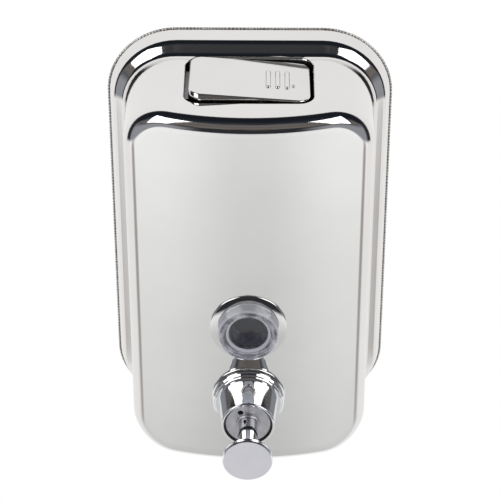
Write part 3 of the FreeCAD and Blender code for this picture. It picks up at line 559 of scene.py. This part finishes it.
def tank_skin():
    """The drawn shell: stepped rim, rounded ledge, bowed front, two flat seats and the filler opening."""
    rings = shell_rings()
    count = len(rings[0])
    vertices = [v for ring in rings for v in ring]
    faces = ring_faces(count, len(rings))
    middle = len(vertices)
    vertices.append(Vector((0, -FRONT_DEPTH, 0)))
    last = (len(rings) - 1) * count
    faces += [(last + number, last + (number + 1) % count, middle) for number in range(count)]
    skin = mesh_object("tank_shell_skin", vertices, faces)
    thick = skin.modifiers.new("sheet", "SOLIDIFY")
    thick.thickness = SHEET * MM
    thick.offset = -1.0
    seat_back = SEAT_DEPTH - SEAT_SHEETS * SHEET
    bevel = SEAT_ROUND * SEAT_ROUND_SHARE
    bore_back, bore_front = SEAT_DEPTH - BORE_BEHIND, SEAT_DEPTH + BORE_IN_FRONT
    for name, place, radius, hole in SEATS:
        seat = turned_solid(f"{name}_seat", place, [
            (SEAT_CORE, seat_back), (radius, seat_back), (radius, SEAT_DEPTH - SEAT_ROUND),
            (radius - bevel, SEAT_DEPTH - bevel), (radius - SEAT_ROUND, SEAT_DEPTH), (SEAT_CORE, SEAT_DEPTH)])
        apply_boolean(skin, seat, "UNION")
        bore = turned_solid(f"{name}_bore", place, [
            (BORE_CORE, bore_back), (hole, bore_back), (hole, bore_front), (BORE_CORE, bore_front)])
        apply_boolean(skin, bore, "DIFFERENCE")
    cutter = prism("filler_cutter", [filler_ring(FILLER_ROUND, -CUTTER_SHEETS * SHEET),
                                     filler_ring(FILLER_ROUND, CUTTER_SHEETS * SHEET)])
    apply_boolean(skin, cutter, "DIFFERENCE")
    finish_shell_piece(skin, "shell_steel", "tank")
    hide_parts("tank_shell")
    lip = []
    for step in range(ROUND_STEPS + 1):
        turn = math.pi / 2 * step / ROUND_STEPS
        lip.append(filler_ring(FILLER_ROUND * (1 - math.sin(turn)), -FILLER_ROUND * (1 - math.cos(turn))))
    lip.append(filler_ring(0.0, -SHEET - FILLER_LIP_DROP))
    lip.append(filler_ring(FILLER_ROUND, -SHEET - FILLER_LIP_DROP))
    edge = mesh_object("filler_edge", [v for ring in lip for v in ring],
                       ring_faces(len(lip[0]), len(lip), closed=True))
    finish_shell_piece(edge, "shell_steel", "tank")


def finish_shell_piece(piece, slot, body, sharp=SHARP_ANGLE):
    """Give a new piece its finish, its shading and its body."""
    piece.data.materials.clear()
    piece.data.materials.append(MATERIALS[slot])
    piece.data.polygons.foreach_set("use_smooth", [True] * len(piece.data.polygons))
    piece.data.set_sharp_from_angle(angle=math.radians(sharp))
    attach(piece, body)


def weld_beads():
    """The seam weld round the rim: one bead after another, never quite alike."""
    draw = random.Random(WELD_SEED)
    rim_depth, _, rim_corner, _ = PROFILE[0]
    path = [outline_point(mark, HALF_WIDTH, HALF_HEIGHT, rim_corner) for mark in outline_marks(*WELD_MARKS)]
    rings = []
    run = 0.0
    bead_end = 0.0
    bead_start = 0.0
    swell = 1.0
    previous = path[0][0]
    for place, outward in path:
        run += (place - previous).length
        previous = place
        if run >= bead_end:
            bead_start = bead_end
            bead_end = bead_start + draw.uniform(*BEAD_LENGTH)
            swell = draw.uniform(*BEAD_SWELL)
        share = (run - bead_start) / (bead_end - bead_start)
        arch = math.sqrt(max(0.0, math.sin(math.pi * min(1.0, share))))
        radius = WELD_RADIUS * (BEAD_END + BEAD_RISE * swell * arch)
        ring = []
        for step in range(BEAD_STEPS + 1):
            turn = math.pi * (step / BEAD_STEPS - 0.5)
            reach = place + outward * radius * math.cos(turn)
            ring.append(Vector((reach.x, -rim_depth + radius * math.sin(turn), reach.y)))
        root = Vector((place.x, -rim_depth, place.y))
        ring.append(root - Vector((outward.x, 0, outward.y)) * WELD_SINK)
        rings.append(ring)
    weld = mesh_object("rim_weld_beads", [v for ring in rings for v in ring],
                       ring_faces(len(rings[0]), len(rings), closed=True))
    finish_shell_piece(weld, "weld_steel", "tank", sharp=WELD_SHARP_ANGLE)
    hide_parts("rim_weld")


def by_ray(tree, seen, reflected):
    """Show one value to the camera and another to every reflection."""
    ray = add(tree, "ShaderNodeLightPath")
    choice = add(tree, "ShaderNodeMix", data_type="RGBA")
    tree.links.new(ray.outputs["Is Camera Ray"], choice.inputs["Factor"])
    tree.links.new(reflected, choice.inputs["A"])
    choice.inputs["B"].default_value = (seen, seen, seen, 1.0)
    return choice.outputs["Result"]


def panel(name, azimuth, elevation, distance, across, up, radiance):
    """A softbox: an area light that faces the dispenser from an azimuth off its front and an elevation."""
    light = bpy.data.lights.new(name, "AREA")
    light.shape = "RECTANGLE"
    light.size = across
    light.size_y = up
    light.energy = radiance * math.pi * across * up
    holder = bpy.data.objects.new(name, light)
    SCENE.collection.objects.link(holder)
    turn, rise = math.radians(azimuth), math.radians(elevation)
    away = Vector((math.sin(turn) * math.cos(rise), -math.cos(turn) * math.cos(rise), math.sin(rise)))
    holder.location = AIM + distance * away
    holder.rotation_euler = (AIM - holder.location).to_track_quat("-Z", "Y").to_euler()


def floor():
    """The plain pale floor. The room below stands for it in the polished metal."""
    mesh = bpy.data.meshes.new("floor")
    half = FLOOR_SIZE / 2
    corners = [(-half, -half), (half, -half), (half, half), (-half, half)]
    mesh.from_pydata([(x, y, FLOOR_Z) for x, y in corners], [], [(0, 1, 2, 3)])
    material = bpy.data.materials.new("floor_white")
    material.use_nodes = True
    tree = material.node_tree
    tree.nodes.remove(tree.nodes["Principled BSDF"])
    glow = add(tree, "ShaderNodeEmission")
    glow.inputs["Strength"].default_value = 1.0
    tree.links.new(glow.outputs["Emission"], tree.nodes["Material Output"].inputs["Surface"])
    mesh.materials.append(material)
    ground = bpy.data.objects.new("floor", mesh)
    SCENE.collection.objects.link(ground)
    ground.visible_glossy = False
    ground.visible_transmission = False


def ramp(tree, source, stops):
    """A colour ramp over stops of (place, colour)."""
    node = add(tree, "ShaderNodeValToRGB")
    elements = node.color_ramp.elements
    while len(elements) < len(stops):
        elements.new(0.5)
    for element, (place, colour) in zip(elements, stops):
        element.position = place
        element.color = (*colour, 1.0)
    tree.links.new(source, node.inputs["Fac"])
    return node.outputs["Color"]


def world():
    """The room by direction: white behind and below, dark overhead and above the camera."""
    room = bpy.data.worlds.new("room")
    SCENE.world = room
    room.use_nodes = True
    tree = room.node_tree
    glow = tree.nodes["Background"]
    place = add(tree, "ShaderNodeTexCoord")
    split = add(tree, "ShaderNodeSeparateXYZ")
    tree.links.new(place.outputs["Generated"], split.inputs["Vector"])
    x, y, z = (split.outputs[axis] for axis in "XYZ")
    side = arithmetic(tree, "ABSOLUTE", x)
    behind = smooth_step(tree, y, *BEHIND_STEP)
    below = smooth_step(tree, z, BELOW_EDGE, BELOW_EDGE - BELOW_FADE)
    # The floor in front: duller in the middle and near the foot of the dispenser.
    across = smooth_step(tree, side, *FLOOR_ACROSS)
    down = smooth_step(tree, z, *FLOOR_DOWN)
    front = arithmetic(tree, "MULTIPLY", across, down)
    # Brownish surroundings low down at either side.
    aside = add(tree, "ShaderNodeCombineXYZ")
    for axis, source in zip("XYZ", (side, y, z)):
        tree.links.new(source, aside.inputs[axis])
    gap = vector_step(tree, "DISTANCE", aside.outputs[0], SIDE_SHADE)
    shade = smooth_step(tree, gap.outputs["Value"], *SIDE_SHADE_FADE)
    in_front = smooth_step(tree, y, *IN_FRONT_STEP)
    floor_grey = add(tree, "ShaderNodeCombineColor")
    for channel in ("Red", "Green", "Blue"):
        tree.links.new(front, floor_grey.inputs[channel])
    lit = mix_sockets(tree, in_front, fixed_colour(tree, PALE), floor_grey.outputs[0])
    lit = mix_sockets(tree, shade, lit, fixed_colour(tree, BROWN))
    # The dark part of the room, by angle about the X axis: 0 is level behind, 0.5 overhead, 1 level in front.
    angle = arithmetic(tree, "DIVIDE", arithmetic(tree, "ARCTAN2", z, y), math.pi)
    streak = add(tree, "ShaderNodeTexNoise")
    streak.inputs["Scale"].default_value = STREAK_SCALE
    streak.inputs["Detail"].default_value = STREAK_DETAIL
    tree.links.new(place.outputs["Generated"], streak.inputs["Vector"])
    centred = arithmetic(tree, "SUBTRACT", streak.outputs["Fac"], 0.5)
    waver = arithmetic(tree, "MULTIPLY", centred, STREAK_WAVER)
    dark = ramp(tree, arithmetic(tree, "ADD", angle, waver), DARK_STOPS)
    # A grey-blue band low down at either side of the camera.
    band = arithmetic(tree, "MULTIPLY", smooth_step(tree, side, *SIDE_GLOW_ACROSS),
                      smooth_step(tree, z, *SIDE_GLOW_DOWN))
    band = arithmetic(tree, "MULTIPLY", band, in_front)
    dark = mix_sockets(tree, band, dark, fixed_colour(tree, SIDE_GLOW))
    lightness = arithmetic(tree, "MAXIMUM", behind, below)
    whole = mix_sockets(tree, lightness, dark, lit)
    tree.links.new(by_ray(tree, 1.0, whole), glow.inputs["Color"])
    glow.inputs["Strength"].default_value = 1.0


def camera():
    """Put the camera in front of and above the dispenser."""
    lens = bpy.data.cameras.new("camera")
    lens.sensor_width = SENSOR
    lens.lens = FOCAL_IN_FRAMES * SENSOR
    lens.clip_start, lens.clip_end = CLIP
    holder = bpy.data.objects.new("camera", lens)
    SCENE.collection.objects.link(holder)
    away = Vector((math.sin(YAW) * math.cos(PITCH), -math.cos(YAW) * math.cos(PITCH), math.sin(PITCH)))
    holder.location = AIM + away * DISTANCE
    holder.rotation_mode = "QUATERNION"
    holder.rotation_quaternion = (-away).to_track_quat("-Z", "Y")
    SCENE.camera = holder


tank_skin()
weld_beads()
floor()
world()
camera()
panel("softbox_left", azimuth=-SOFTBOX_AZIMUTH, **SOFTBOX)
panel("softbox_right", azimuth=SOFTBOX_AZIMUTH, **SOFTBOX)
